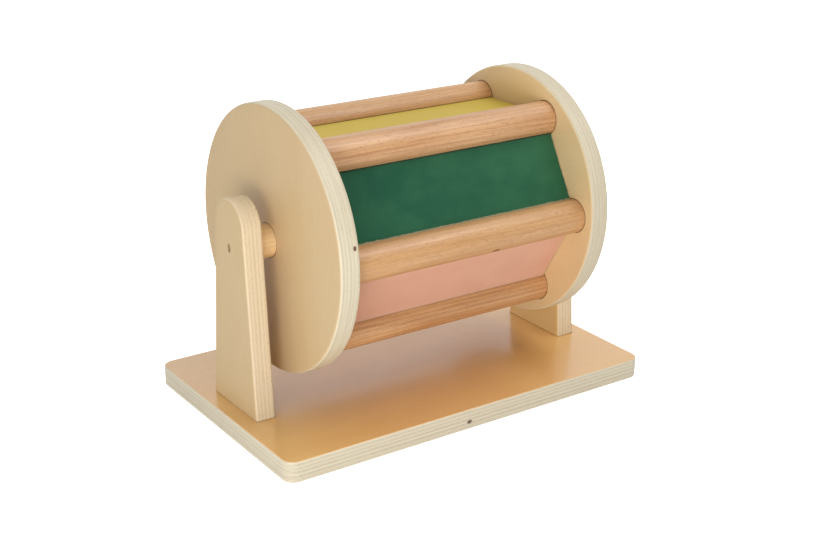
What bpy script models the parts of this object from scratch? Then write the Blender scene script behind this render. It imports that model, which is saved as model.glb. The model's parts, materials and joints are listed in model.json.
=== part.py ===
"""A toddler's spinning drum: a six-sided drum with coloured sides, turning between two uprights.

Units are metres and +Z is up. The drum's axle runs along X, the front of the toy faces -Y, and the
underside of the base board lies on Z = 0. The discs, rods, panels and axle are glued into one drum,
whose axle ends turn in blind bores in the uprights.
"""
import math

import bmesh
import bpy
from mathutils import Matrix, Vector

# Sheet and rod stock
BOARD = 0.015                   # plywood of the base, the uprights and the discs
ROD_DIAMETER = 0.024            # the rods that join the two discs
AXLE_DIAMETER = 0.023
PANEL_THICKNESS = 0.005

# Base board
BASE_LENGTH = 0.302
BASE_WIDTH = 0.186
BASE_CORNER_RADIUS = 0.009
BASE_EDGE_RADIUS = 0.001

# Drum
DISC_DIAMETER = 0.183
DISC_EDGE_RADIUS = 0.0015
ROD_MARGIN = 0.0075             # wood between a rod and the disc's rim
ROD_FLOOR = 0.006               # wood behind a rod's blind socket in a disc
ROD_CHAMFER = 0.001
GROOVE_DEPTH = 0.004            # groove in a rod that a panel's edge sits in

# Stand
DISC_TO_BASE = 0.0235           # air under the discs
DISC_TO_UPRIGHT = 0.014         # air beside the discs
UPRIGHT_TO_END = 0.012          # base board past the outer face of an upright
UPRIGHT_FOOT_WIDTH = 0.060
UPRIGHT_TOP_RADIUS = 0.019
UPRIGHT_EDGE_RADIUS = 0.002
UPRIGHT_ABOVE_AXLE = 0.0335     # from the axle's centre to the top of the upright
BEARING_FLOOR = 0.005           # wood behind the axle's blind bore in an upright
AXLE_CHAMFER = 0.001
FILLER_DIAMETER = 0.004         # filled hole that the drill's point left in the bore's floor

# Screws that hold the uprights, driven up through the base board
SCREW_LENGTH = 0.040
SCREW_DIAMETER = 0.004
SCREW_HEAD_DIAMETER = 0.008
SCREW_HEAD_RIM = 0.0004
SCREW_TIP = 0.004
SCREW_SINK = 0.0008             # depth of the screw's head below the board's underside
SCREW_INSET = 0.011             # from the edge of an upright's foot to a screw's axis
RECESS_LENGTH = 0.0042          # cross recess in a screw's head
RECESS_WIDTH = 0.0009
RECESS_DEPTH = 0.0016

# Fits
GLUE_GAP = 0.0003               # between pieces that are fixed to each other
RUNNING_GAP = 0.0005            # between the axle and its bore, and at each end of the axle
SCREW_BORE_END = 0.001          # air past a screw's tip
CUT_PAST = 0.002                # how far a cutter reaches out of the piece it cuts

# Smoothness
DISC_STEPS = 96
ROD_STEPS = 40
AXLE_STEPS = 48
SCREW_STEPS = 20
CORNER_STEPS = 8
TOP_ARC_STEPS = 28
EDGE_STEPS = 4
SMOOTH_ANGLE = math.radians(30)
MERGE_DISTANCE = 1e-6

# Places that follow from the sizes
DISC_RADIUS = DISC_DIAMETER / 2
AXLE_HEIGHT = BOARD + DISC_TO_BASE + DISC_RADIUS
UPRIGHT_X = BASE_LENGTH / 2 - UPRIGHT_TO_END - BOARD / 2
UPRIGHT_INNER_X = UPRIGHT_X - BOARD / 2
DISC_X = UPRIGHT_INNER_X - DISC_TO_UPRIGHT - BOARD / 2
DISC_SPACING = 2 * DISC_X - BOARD
UPRIGHT_FOOT_HEIGHT = BOARD + GLUE_GAP
ROD_CIRCLE = DISC_RADIUS - ROD_MARGIN - ROD_DIAMETER / 2
ROD_SOCKET = BOARD - ROD_FLOOR
BEARING_DEPTH = BOARD - BEARING_FLOOR
SCREW_Y = UPRIGHT_FOOT_WIDTH / 2 - SCREW_INSET
HEAD_CONE = (SCREW_HEAD_DIAMETER - SCREW_DIAMETER) / 2

# Colours (linear red, green, blue). The panels go around the drum from the top towards the front.
BIRCH = (0.57, 0.42, 0.25)
BEECH = (0.60, 0.36, 0.19)
FILLER = (0.50, 0.32, 0.17)
STEEL = (0.55, 0.54, 0.50)
PANEL_COLOURS = (
    ("yellow", (0.60, 0.47, 0.07)),
    ("green", (0.026, 0.13, 0.07)),
    ("pink", (0.68, 0.33, 0.22)),
    ("orange", (0.62, 0.19, 0.04)),
    ("blue", (0.06, 0.17, 0.34)),
    ("lilac", (0.30, 0.17, 0.38)),
)
ROD_COUNT = len(PANEL_COLOURS)
ROD_ANGLE = math.tau / ROD_COUNT


def clear_scene():
    for old in list(bpy.data.objects):
        bpy.data.objects.remove(old, do_unlink=True)


def make_material(name, colour, roughness, metallic=0.0):
    material = bpy.data.materials.new(name)
    material.use_nodes = True
    shader = material.node_tree.nodes["Principled BSDF"]
    shader.inputs["Base Color"].default_value = (*colour, 1.0)
    shader.inputs["Roughness"].default_value = roughness
    shader.inputs["Metallic"].default_value = metallic
    return material


def make_object(name, bm, material=None):
    """Turn a bmesh into an object with outward faces, smooth on its round sides."""
    bmesh.ops.remove_doubles(bm, verts=bm.verts, dist=MERGE_DISTANCE)
    bmesh.ops.recalc_face_normals(bm, faces=bm.faces)
    mesh = bpy.data.meshes.new(name)
    bm.to_mesh(mesh)
    bm.free()
    mesh.shade_smooth()
    mesh.set_sharp_from_angle(angle=SMOOTH_ANGLE)
    if material:
        mesh.materials.append(material)
    piece = bpy.data.objects.new(name, mesh)
    bpy.context.collection.objects.link(piece)
    return piece


def place(piece, location, rotation=(0.0, 0.0, 0.0), parent=None):
    piece.parent = parent
    piece.location = location
    piece.rotation_euler = rotation
    return piece


def cut(piece, cutter):
    """Subtract a cutter, given in the piece's own coordinates."""
    cutter.parent = piece
    cutter.hide_render = True
    cutter.display_type = "WIRE"
    modifier = piece.modifiers.new(cutter.name, "BOOLEAN")
    modifier.operation = "DIFFERENCE"
    modifier.solver = "EXACT"
    modifier.object = cutter


def arc(centre, radius, start, end, steps):
    """Points on a circle in a plane, from one angle to another, both ends included."""
    angles = [start + (end - start) * step / steps for step in range(steps + 1)]
    return [(centre[0] + radius * math.cos(a), centre[1] + radius * math.sin(a)) for a in angles]


def turn(profile, steps, closed=False):
    """Turn a profile of (radius, height) points about the Z axis into a solid."""
    bm = bmesh.new()
    verts = [bm.verts.new((radius, 0.0, height)) for radius, height in profile]
    edges = [bm.edges.new(pair) for pair in zip(verts, verts[1:])]
    if closed:
        edges.append(bm.edges.new((verts[-1], verts[0])))
    bmesh.ops.spin(bm, geom=verts + edges, cent=(0.0, 0.0, 0.0), axis=(0.0, 0.0, 1.0),
                   angle=math.tau, steps=steps, use_merge=True)
    return bm


def lay_along_x(bm):
    """Lay a turned solid down, so that its axis is X and its +Z end points to +X."""
    bm.transform(Matrix.Rotation(math.radians(90), 4, "Y"))
    return bm


def cylinder(radius, low, high, steps, chamfer=0.0):
    """A solid cylinder about Z, with chamfered ends where a chamfer is given."""
    side = [(radius, low + chamfer), (radius, high - chamfer)]
    if chamfer:
        side = [(radius - chamfer, low), *side, (radius - chamfer, high)]
    return turn([(0.0, low), *side, (0.0, high)], steps)


def box(size, centre=(0.0, 0.0, 0.0)):
    bm = bmesh.new()
    bmesh.ops.create_cube(bm, size=1.0, matrix=Matrix.Translation(centre) @ Matrix.Diagonal((*size, 1.0)))
    return bm


def plate(outline, thickness):
    """Extrude an outline of (x, y) points to a plate centred on Z = 0."""
    bm = bmesh.new()
    face = bm.faces.new([bm.verts.new((x, y, -thickness / 2)) for x, y in outline])
    extruded = bmesh.ops.extrude_face_region(bm, geom=[face])["geom"]
    moved = [item for item in extruded if isinstance(item, bmesh.types.BMVert)]
    bmesh.ops.translate(bm, verts=moved, vec=(0.0, 0.0, thickness))
    return bm


def round_rims(bm, radius, keeps_sharp):
    """Round the edges around a plate's two faces, except those that keeps_sharp picks."""
    rims = []
    for edge in bm.edges:
        first, second = (vert.co for vert in edge.verts)
        if abs(first.z - second.z) < MERGE_DISTANCE and not keeps_sharp(first, second):
            rims.append(edge)
    bmesh.ops.bevel(bm, geom=rims, offset=radius, offset_type="OFFSET", segments=EDGE_STEPS,
                    profile=0.5, affect="EDGES")


def on_rod_circle(angle, radius):
    """Place in the drum's own frame, at an angle from the top towards the front."""
    return Matrix.Rotation(angle, 4, "X") @ Vector((0.0, 0.0, radius))


def screw_hole():
    """Countersunk clearance hole, with the board's underside at Z = 0."""
    head = SCREW_HEAD_DIAMETER / 2 + GLUE_GAP
    shank = SCREW_DIAMETER / 2 + GLUE_GAP
    cone_start = SCREW_SINK + SCREW_HEAD_RIM
    profile = [(0.0, -CUT_PAST), (head, -CUT_PAST), (head, cone_start)]
    profile += [(shank, cone_start + HEAD_CONE), (shank, BOARD + CUT_PAST), (0.0, BOARD + CUT_PAST)]
    return turn(profile, SCREW_STEPS)


def build_base():
    corner_x = BASE_LENGTH / 2 - BASE_CORNER_RADIUS
    corner_y = BASE_WIDTH / 2 - BASE_CORNER_RADIUS
    outline = []
    for quarter, (side_x, side_y) in enumerate(((1, 1), (-1, 1), (-1, -1), (1, -1))):
        start = quarter * math.pi / 2
        centre = (side_x * corner_x, side_y * corner_y)
        outline += arc(centre, BASE_CORNER_RADIUS, start, start + math.pi / 2, CORNER_STEPS)
    bm = plate(outline, BOARD)
    round_rims(bm, BASE_EDGE_RADIUS, lambda first, second: False)
    base = make_object("base_board", bm, make_material("base_birch", BIRCH, 0.35))
    place(base, (0.0, 0.0, BOARD / 2))
    for side_x in (-1, 1):
        for side_y in (-1, 1):
            cutter = make_object(f"screw_hole_{side_x}_{side_y}", screw_hole())
            cut(base, place(cutter, (side_x * UPRIGHT_X, side_y * SCREW_Y, -BOARD / 2)))


def upright_outline():
    """Tapered sides that run tangent into a round top, in (Y, Z) with the axle's centre at 0, 0."""
    foot = Vector((UPRIGHT_FOOT_WIDTH / 2, UPRIGHT_FOOT_HEIGHT - AXLE_HEIGHT))
    top_centre = Vector((0.0, UPRIGHT_ABOVE_AXLE - UPRIGHT_TOP_RADIUS))
    to_foot = foot - top_centre
    tangent = math.atan2(to_foot.y, to_foot.x) + math.acos(UPRIGHT_TOP_RADIUS / to_foot.length)
    top = arc(top_centre, UPRIGHT_TOP_RADIUS, tangent, math.pi - tangent, TOP_ARC_STEPS)
    return [tuple(foot), *top, (-foot.x, foot.y)]


def bearing_bore():
    """Blind bore for the axle, open to +X, with the small hole through the wood behind it."""
    bore = AXLE_DIAMETER / 2 + RUNNING_GAP
    hole = FILLER_DIAMETER / 2 + GLUE_GAP
    mouth = BOARD / 2 + CUT_PAST
    floor = BOARD / 2 - BEARING_DEPTH
    profile = [(0.0, -mouth), (hole, -mouth), (hole, floor), (bore, floor), (bore, mouth), (0.0, mouth)]
    return lay_along_x(turn(profile, AXLE_STEPS))


def build_upright(side, facing):
    """An upright whose inner face is turned to +X by facing, with its origin on the drum's axis."""
    plate_to_upright = Matrix(((0, 0, 1, 0), (1, 0, 0, 0), (0, 1, 0, 0), (0, 0, 0, 1)))
    foot = UPRIGHT_FOOT_HEIGHT - AXLE_HEIGHT
    bm = plate(upright_outline(), BOARD)
    lowest = foot + MERGE_DISTANCE
    round_rims(bm, UPRIGHT_EDGE_RADIUS, lambda first, second: max(first.y, second.y) < lowest)
    bm.transform(plate_to_upright)
    upright = make_object(f"{side}_upright", bm, make_material(f"{side}_upright_birch", BIRCH, 0.42))
    cut(upright, make_object(f"{side}_bearing_bore", bearing_bore()))
    bore_end = foot + SCREW_LENGTH + SCREW_SINK - BOARD + SCREW_BORE_END
    for side_y in (-1, 1):
        shank = cylinder(SCREW_DIAMETER / 2 + GLUE_GAP, foot - CUT_PAST, bore_end, SCREW_STEPS)
        pilot = make_object(f"{side}_screw_pilot_{side_y}", shank)
        cut(upright, place(pilot, (0.0, side_y * SCREW_Y, 0.0)))
    return place(upright, (-facing * UPRIGHT_X, 0.0, AXLE_HEIGHT), (0.0, 0.0, math.pi * (facing < 0)))


def build_filler(side, facing):
    """Wood filler in the small hole behind the axle, flush with the upright's outer face."""
    outer = UPRIGHT_INNER_X + BOARD
    inner = outer - BEARING_FLOOR
    bm = lay_along_x(cylinder(FILLER_DIAMETER / 2, inner, outer, SCREW_STEPS))
    filler = make_object(f"{side}_filler", bm, make_material(f"{side}_filler_paste", FILLER, 0.7))
    return place(filler, (0.0, 0.0, AXLE_HEIGHT), (0.0, 0.0, math.pi * (facing > 0)))


def build_screw(name, x, y):
    """Countersunk wood screw with a cross recess, its head at the bottom."""
    head = SCREW_HEAD_DIAMETER / 2
    shank = SCREW_DIAMETER / 2
    profile = [(0.0, 0.0), (head, 0.0), (head, SCREW_HEAD_RIM), (shank, SCREW_HEAD_RIM + HEAD_CONE)]
    profile += [(shank, SCREW_LENGTH - SCREW_TIP), (0.0, SCREW_LENGTH)]
    screw = make_object(name, turn(profile, SCREW_STEPS), make_material(f"{name}_steel", STEEL, 0.35, 1.0))
    for across, size in enumerate(((RECESS_LENGTH, RECESS_WIDTH), (RECESS_WIDTH, RECESS_LENGTH))):
        slot = box((*size, 2 * RECESS_DEPTH))
        cut(screw, make_object(f"{name}_recess_{across}", slot))
    return place(screw, (x, y, SCREW_SINK))


def build_disc(side, facing, pivot):
    """A disc whose inner face is turned to +X by facing, with a bore for the axle."""
    bore = AXLE_DIAMETER / 2 + GLUE_GAP
    rim = DISC_RADIUS - DISC_EDGE_RADIUS
    shoulder = BOARD / 2 - DISC_EDGE_RADIUS
    profile = [(bore, -BOARD / 2)]
    profile += arc((rim, -shoulder), DISC_EDGE_RADIUS, -math.pi / 2, 0.0, EDGE_STEPS)
    profile += arc((rim, shoulder), DISC_EDGE_RADIUS, 0.0, math.pi / 2, EDGE_STEPS)
    profile += [(bore, BOARD / 2)]
    bm = lay_along_x(turn(profile, DISC_STEPS, closed=True))
    disc = make_object(f"{side}_disc", bm, make_material(f"{side}_disc_birch", BIRCH, 0.42))
    floor = BOARD / 2 - ROD_SOCKET
    for number in range(ROD_COUNT):
        socket = cylinder(ROD_DIAMETER / 2 + GLUE_GAP, floor, BOARD / 2 + CUT_PAST, ROD_STEPS)
        cutter = make_object(f"{side}_socket_{number + 1}", lay_along_x(socket))
        cut(disc, place(cutter, on_rod_circle((number - 0.5) * ROD_ANGLE, ROD_CIRCLE)))
    return place(disc, (-facing * DISC_X, 0.0, 0.0), (0.0, 0.0, math.pi * (facing < 0)), pivot)


def build_rod(number, pivot):
    """A rod between the discs, with a groove towards each of its neighbours for a panel's edge."""
    end = DISC_SPACING / 2 + ROD_SOCKET - GLUE_GAP
    bm = lay_along_x(cylinder(ROD_DIAMETER / 2, -end, end, ROD_STEPS, ROD_CHAMFER))
    rod = make_object(f"rod_{number + 1}", bm, make_material(f"rod_{number + 1}_beech", BEECH, 0.4))
    inner = ROD_DIAMETER / 2 - GROOVE_DEPTH
    outer = ROD_DIAMETER / 2 + CUT_PAST
    size = (DISC_SPACING, outer - inner, PANEL_THICKNESS + 2 * GLUE_GAP)
    for side in (-1, 1):
        groove = box(size, (0.0, side * (inner + outer) / 2, 0.0))
        groove.transform(Matrix.Rotation(-side * ROD_ANGLE / 2, 4, "X"))
        cut(rod, make_object(f"rod_{number + 1}_groove_{side}", groove))
    angle = (number - 0.5) * ROD_ANGLE
    return place(rod, on_rod_circle(angle, ROD_CIRCLE), (angle, 0.0, 0.0), pivot)


def build_panel(number, name, colour, pivot):
    """A flat coloured side of the drum, held in the grooves of two neighbouring rods."""
    rod_to_rod = 2 * ROD_CIRCLE * math.sin(ROD_ANGLE / 2)
    width = rod_to_rod - 2 * (ROD_DIAMETER / 2 - GROOVE_DEPTH + GLUE_GAP)
    bm = box((DISC_SPACING - 2 * GLUE_GAP, width, PANEL_THICKNESS))
    panel = make_object(f"{name}_panel", bm, make_material(f"{name}_paint", colour, 0.5))
    angle = number * ROD_ANGLE
    middle = on_rod_circle(angle, ROD_CIRCLE * math.cos(ROD_ANGLE / 2))
    return place(panel, middle, (angle, 0.0, 0.0), pivot)


def build_axle(pivot):
    end = UPRIGHT_INNER_X + BEARING_DEPTH - RUNNING_GAP
    bm = lay_along_x(cylinder(AXLE_DIAMETER / 2, -end, end, AXLE_STEPS, AXLE_CHAMFER))
    axle = make_object("axle", bm, make_material("axle_beech", BEECH, 0.4))
    return place(axle, (0.0, 0.0, 0.0), parent=pivot)


def build_stand():
    build_base()
    for side, facing in (("left", 1), ("right", -1)):
        build_upright(side, facing)
        build_filler(side, facing)
        build_screw(f"{side}_front_screw", -facing * UPRIGHT_X, -SCREW_Y)
        build_screw(f"{side}_back_screw", -facing * UPRIGHT_X, SCREW_Y)


def build_drum():
    """The turning part, parented to an empty on the axle's centre line."""
    pivot = bpy.data.objects.new("drum_pivot", None)
    bpy.context.collection.objects.link(pivot)
    place(pivot, (0.0, 0.0, AXLE_HEIGHT))
    for side, facing in (("left", 1), ("right", -1)):
        build_disc(side, facing, pivot)
    for number, (name, colour) in enumerate(PANEL_COLOURS):
        build_rod(number, pivot)
        build_panel(number, name, colour, pivot)
    build_axle(pivot)


clear_scene()
build_stand()
build_drum()
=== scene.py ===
# %% [markdown]
# # A wooden spinning drum for small children
# The toy is a six-sided drum with coloured sides. Two plywood discs, six beech rods and six thin
# painted panels are glued together, and a beech axle carries them between two plywood uprights on a
# base board. The parts were designed first, as solids with real sizes, and they come in here as a
# fixed frame. This script makes the finished surface of each of them: rounded edges, plies, grain,
# paint, glue. It reads the places and sizes from the frame, so every finished piece fits the design.
# All lengths are in metres, X runs along the axle, and the front of the toy faces -Y.

# %% Start empty and load the frame
import bpy
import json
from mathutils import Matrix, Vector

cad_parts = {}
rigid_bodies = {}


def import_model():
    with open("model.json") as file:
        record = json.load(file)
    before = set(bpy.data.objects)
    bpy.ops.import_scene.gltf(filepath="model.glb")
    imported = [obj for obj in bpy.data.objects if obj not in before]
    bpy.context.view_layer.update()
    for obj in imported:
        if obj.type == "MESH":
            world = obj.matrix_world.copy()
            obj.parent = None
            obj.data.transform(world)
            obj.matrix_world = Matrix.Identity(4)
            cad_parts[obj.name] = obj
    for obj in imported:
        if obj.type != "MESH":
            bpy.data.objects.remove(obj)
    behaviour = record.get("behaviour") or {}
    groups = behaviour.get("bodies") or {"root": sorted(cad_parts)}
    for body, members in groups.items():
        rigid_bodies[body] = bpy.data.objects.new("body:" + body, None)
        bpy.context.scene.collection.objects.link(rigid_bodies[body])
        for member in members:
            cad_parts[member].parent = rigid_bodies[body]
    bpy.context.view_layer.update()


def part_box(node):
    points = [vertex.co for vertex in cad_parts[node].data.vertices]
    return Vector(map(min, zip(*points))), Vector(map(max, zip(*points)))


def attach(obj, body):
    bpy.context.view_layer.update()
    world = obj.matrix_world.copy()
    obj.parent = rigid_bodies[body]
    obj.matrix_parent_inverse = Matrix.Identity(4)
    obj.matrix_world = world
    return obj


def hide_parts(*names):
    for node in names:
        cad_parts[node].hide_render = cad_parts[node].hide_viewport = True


for leftover in list(bpy.data.objects):
    bpy.data.objects.remove(leftover, do_unlink=True)

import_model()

import json
import math
import random

import bmesh
from mathutils import Matrix, Vector
from mathutils.geometry import delaunay_2d_cdt

# %% [markdown]
# ## The camera
# The toy is looked at from its front left and from a little above, as a small product is usually
# shot. A longish lens at some distance keeps the two ends nearly the same size. The small shift slides
# the picture without turning the camera, which keeps upright edges nearly upright.

# %% Place the camera
CAMERA_AZIMUTH = math.radians(-34.273)       # from the front towards the left
CAMERA_ELEVATION = math.radians(22.653)
CAMERA_ROLL = math.radians(0.424)
CAMERA_DISTANCE = 1.0381
CAMERA_TARGET = Vector((0.0, 0.0130, 0.0462))
LENS_MM = 61.19
LENS_SHIFT = (0.0268, 0.0466)

away = Vector((math.sin(CAMERA_AZIMUTH) * math.cos(CAMERA_ELEVATION),
               -math.cos(CAMERA_AZIMUTH) * math.cos(CAMERA_ELEVATION),
               math.sin(CAMERA_ELEVATION)))
camera_data = bpy.data.cameras.new("studio_camera")
camera_data.lens = LENS_MM
camera_data.shift_x, camera_data.shift_y = LENS_SHIFT
camera = bpy.data.objects.new("studio_camera", camera_data)
bpy.context.scene.collection.objects.link(camera)
camera_turn = away.to_track_quat("Z", "Y").to_matrix().to_4x4() @ Matrix.Rotation(CAMERA_ROLL, 4, "Z")
camera.matrix_world = Matrix.Translation(CAMERA_TARGET + away * CAMERA_DISTANCE) @ camera_turn
bpy.context.scene.camera = camera
print("the camera stands at", [round(value, 3) for value in camera.matrix_world.translation])

# %% [markdown]
# ## Wiring nodes in code
# A finish is a tree of nodes, and so is the light of the tent. This small helper adds one node at a
# time and wires its inputs, which may be numbers, colours or the outputs of other nodes. Colours are
# given as they look on a screen, from 0 to 255, and turned into the linear values of a shader. A node
# group keeps a finish in one place, so that many materials can share it.

# %% A helper that adds and wires nodes
def rgb(red, green, blue):
    """A colour as it looks on a screen, turned into what a shader works with."""
    def linear(value):
        value /= 255
        return value / 12.92 if value <= 0.04045 else ((value + 0.055) / 1.055) ** 2.4
    return (linear(red), linear(green), linear(blue), 1.0)


class Wiring:
    """Adds nodes to one tree. Inputs are numbers, tuples or the sockets of other nodes."""

    def __init__(self, tree):
        self.tree = tree

    def feed(self, socket, value):
        if isinstance(value, bpy.types.NodeSocket):
            self.tree.links.new(value, socket)
        else:
            socket.default_value = value

    def add(self, kind, inputs=None, **settings):
        node = self.tree.nodes.new(kind)
        for setting, value in settings.items():
            setattr(node, setting, value)
        for socket, value in (inputs or {}).items():
            self.feed(node.inputs[socket], value)
        return node

    def maths(self, operation, first, second=0.0, clamp=False):
        node = self.add("ShaderNodeMath", {0: first, 1: second}, operation=operation, use_clamp=clamp)
        return node.outputs[0]

    def plus(self, first, second, clamp=False):
        return self.maths("ADD", first, second, clamp)

    def minus(self, first, second):
        return self.maths("SUBTRACT", first, second)

    def times(self, first, second):
        return self.maths("MULTIPLY", first, second)

    def vector(self, operation, first, second):
        node = self.add("ShaderNodeVectorMath", {0: first, 1: second}, operation=operation)
        return node.outputs["Value" if operation in ("DISTANCE", "DOT_PRODUCT") else "Vector"]

    def spread(self, value, low, high, to_low=0.0, to_high=1.0, shape="SMOOTHSTEP"):
        """Map a value between low and high to another range, held at both ends."""
        inputs = {0: value, 1: low, 2: high, 3: to_low, 4: to_high}
        return self.add("ShaderNodeMapRange", inputs, interpolation_type=shape).outputs[0]

    def mix(self, factor, first, second):
        """A colour between the first and the second. Sockets 6, 7 and 2 are the node's colour ones."""
        return self.add("ShaderNodeMix", {0: factor, 6: first, 7: second}, data_type="RGBA").outputs[2]

    def noise(self, place, stretch, detail=2.0, roughness=0.5, distortion=0.0):
        """Noise whose cells are 1 / stretch long in each direction."""
        stretched = self.vector("MULTIPLY", place, stretch)
        inputs = {"Vector": stretched, "Scale": 1.0, "Detail": detail, "Roughness": roughness,
                  "Distortion": distortion}
        return self.add("ShaderNodeTexNoise", inputs).outputs[0]

    def parts(self, vector):
        return self.add("ShaderNodeSeparateXYZ", {0: vector}).outputs

    def joined(self, x, y, z):
        return self.add("ShaderNodeCombineXYZ", {0: x, 1: y, 2: z}).outputs[0]


def start_group(name, takes, gives):
    """A shader node group with named sockets. Returns it, its wiring and its inputs by name."""
    tree = bpy.data.node_groups.new(name, "ShaderNodeTree")
    for label, value in takes.items():
        kind = "Float" if isinstance(value, float) else {3: "Vector", 4: "Color"}[len(value)]
        socket = tree.interface.new_socket(label, in_out="INPUT", socket_type="NodeSocket" + kind)
        socket.default_value = value
    for label, kind in gives.items():
        tree.interface.new_socket(label, in_out="OUTPUT", socket_type="NodeSocket" + kind)
    wiring = Wiring(tree)
    return tree, wiring, wiring.add("NodeGroupInput").outputs


def end_group(wiring, results):
    wiring.add("NodeGroupOutput", results)
    print(wiring.tree.name, "has", len(wiring.tree.nodes), "nodes")

# %% [markdown]
# ## The studio
# The toy stands on a white sheet inside a white tent, as a product is shot when no shadow may show
# around it. Three walls of the tent glow: one high behind the toy, one behind it to the left, and one
# at the right. They mirror in the lacquer of the base board and run along the rounded edges as thin
# highlights. A soft lamp above the right front draws the long highlights on the rods, one low at the
# left opens the face of the near disc, and a weak one in front keeps the shades clear. What looks
# straight at the sheet or the tent sees plain white: the Light Path node tells those rays from the
# ones that carry light between surfaces.

# %% Build the floor and the tent
FLOOR_HALF_SIZE = 8.0
FLOOR_DROP = 0.0002               # keeps the sheet and the underside of the board apart
FLOOR_GLOW = 0.02
BRIGHT_WALLS = {
    # name: (direction, strength)
    "back": ((0.30, 0.66, 0.69), 0.44),
    "back_left": ((-0.70, 0.60, 0.40), 0.40),
    "right": ((0.90, 0.30, 0.20), 0.36),
}
WALL_FADE = (-0.1, 0.85)         # how far, as a cosine, a bright wall fades towards its neighbours


def white_when_seen(w, strength_socket, dim):
    """Feeds a strength of 1 to rays that come straight from the camera, and dim to the others."""
    seen = w.add("ShaderNodeLightPath").outputs["Is Camera Ray"]
    w.feed(strength_socket, w.spread(seen, 0.0, 1.0, dim, 1.0, "LINEAR"))


floor_mesh = bpy.data.meshes.new("floor")
floor_bm = bmesh.new()
bmesh.ops.create_grid(floor_bm, size=FLOOR_HALF_SIZE)
floor_bm.to_mesh(floor_mesh)
floor_bm.free()
floor = bpy.data.objects.new("floor", floor_mesh)
bpy.context.scene.collection.objects.link(floor)
floor.location.z = -FLOOR_DROP

floor_material = bpy.data.materials.new("white_sheet")
floor_material.use_nodes = True
sheet_shader = floor_material.node_tree.nodes["Principled BSDF"]
sheet_shader.inputs["Base Color"].default_value = (0.86, 0.86, 0.86, 1.0)
sheet_shader.inputs["Roughness"].default_value = 0.9
sheet_shader.inputs["Emission Color"].default_value = (1.0, 1.0, 1.0, 1.0)
white_when_seen(Wiring(floor_material.node_tree), sheet_shader.inputs["Emission Strength"], FLOOR_GLOW)
floor_mesh.materials.append(floor_material)

tent = bpy.data.worlds.new("white_tent")
tent.use_nodes = True
background = tent.node_tree.nodes["Background"]
background.inputs["Color"].default_value = (1.0, 1.0, 1.0, 1.0)
w = Wiring(tent.node_tree)
direction = w.add("ShaderNodeTexCoord").outputs["Generated"]
brightness = 0.0
for way, strength in BRIGHT_WALLS.values():
    towards = w.vector("DOT_PRODUCT", direction, Vector(way).normalized())
    brightness = w.plus(brightness, w.spread(towards, *WALL_FADE, 0.0, strength))
white_when_seen(w, background.inputs["Strength"], brightness)
bpy.context.scene.world = tent
bpy.context.scene.view_settings.view_transform = "Standard"
print("bright walls:", ", ".join(BRIGHT_WALLS))

# %% Hang the lamps
LAMPS = {
    # name: (place, size, power in watts)
    "top_softbox": ((0.35, -0.35, 0.95), 0.7, 3.6),
    "left_softbox": ((-0.75, -0.60, 0.12), 0.5, 4.7),
    "front_softbox": ((-0.26, -0.75, 0.30), 0.5, 1.1),
}
LAMP_AIM = Vector((0.0, 0.0, 0.10))

for name, (place, size, power) in LAMPS.items():
    lamp_data = bpy.data.lights.new(name, "AREA")
    lamp_data.shape = "DISK"
    lamp_data.size = size
    lamp_data.energy = power
    lamp = bpy.data.objects.new(name, lamp_data)
    lamp.location = place
    lamp.rotation_euler = (LAMP_AIM - Vector(place)).to_track_quat("-Z", "Y").to_euler()
    bpy.context.scene.collection.objects.link(lamp)
print("lamps:", ", ".join(LAMPS))

# %% [markdown]
# ## Sizes read from the design
# Everything below is worked out from those corners. Rod 3 points straight to the front and the
# yellow panel lies flat on top, so these two give the sizes of all the rods and panels without any
# turning. Only the radii of rounded edges can't be read from a box, and they are named here.

# %% Read the sizes
def corners(node):
    low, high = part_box(node)
    return Vector(low), Vector(high)


base_low, base_high = corners("base_board")
upright_low, upright_high = corners("right_upright")
disc_low, disc_high = corners("right_disc")
rod_low, rod_high = corners("rod_3")
panel_low, panel_high = corners("yellow_panel")
axle_low, axle_high = corners("axle")
screw_low, screw_high = corners("right_front_screw")

BOARD = base_high.z - base_low.z
AXLE_HEIGHT = (axle_low.z + axle_high.z) / 2
AXLE_RADIUS = (axle_high.z - axle_low.z) / 2
DISC_RADIUS = (disc_high.z - disc_low.z) / 2
DISC_X = (disc_low.x + disc_high.x) / 2
UPRIGHT_X = (upright_low.x + upright_high.x) / 2
ROD_RADIUS = (rod_high.z - rod_low.z) / 2
ROD_CIRCLE = -(rod_low.y + rod_high.y) / 2
ROD_HALF_LENGTH = (rod_high.x - rod_low.x) / 2
PANEL_SIZE = panel_high - panel_low
PANEL_CIRCLE = (panel_low.z + panel_high.z) / 2 - AXLE_HEIGHT

BASE_CORNER_RADIUS = 0.009
BASE_EDGE_RADIUS = 0.0010
UPRIGHT_TOP_RADIUS = 0.019
UPRIGHT_EDGE_RADIUS = 0.0020
DISC_EDGE_RADIUS = 0.0020
PANEL_EDGE_RADIUS = 0.0006
ROD_CHAMFER = 0.001
GLUE_GAP = 0.0003
RUNNING_GAP = 0.0005
BORE_MOUTH = 0.0003              # tiny chamfer that a drill leaves around a hole
PANEL_NAMES = ("yellow", "green", "pink", "orange", "blue", "lilac")
STEP_ANGLE = math.tau / len(PANEL_NAMES)
print(f"board {BOARD:.4f}, disc radius {DISC_RADIUS:.4f}, rod radius {ROD_RADIUS:.4f}")
print(f"axle height {AXLE_HEIGHT:.4f}, rod circle {ROD_CIRCLE:.4f}, panel {tuple(PANEL_SIZE)}")

# %% [markdown]
# ## Making solids in code
# A plate is an outline that is extruded and then rounded along its rims, as a router with a small
# round-over bit does it. Round things are a profile turned about a line, as on a lathe. Holes are cut
# with Boolean modifiers whose result is read back into plain mesh data, so that the finished piece
# carries no modifier that depends on another object. Blender's weighted normals keep the flat faces
# flat while the small round-overs stay smooth.

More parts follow.
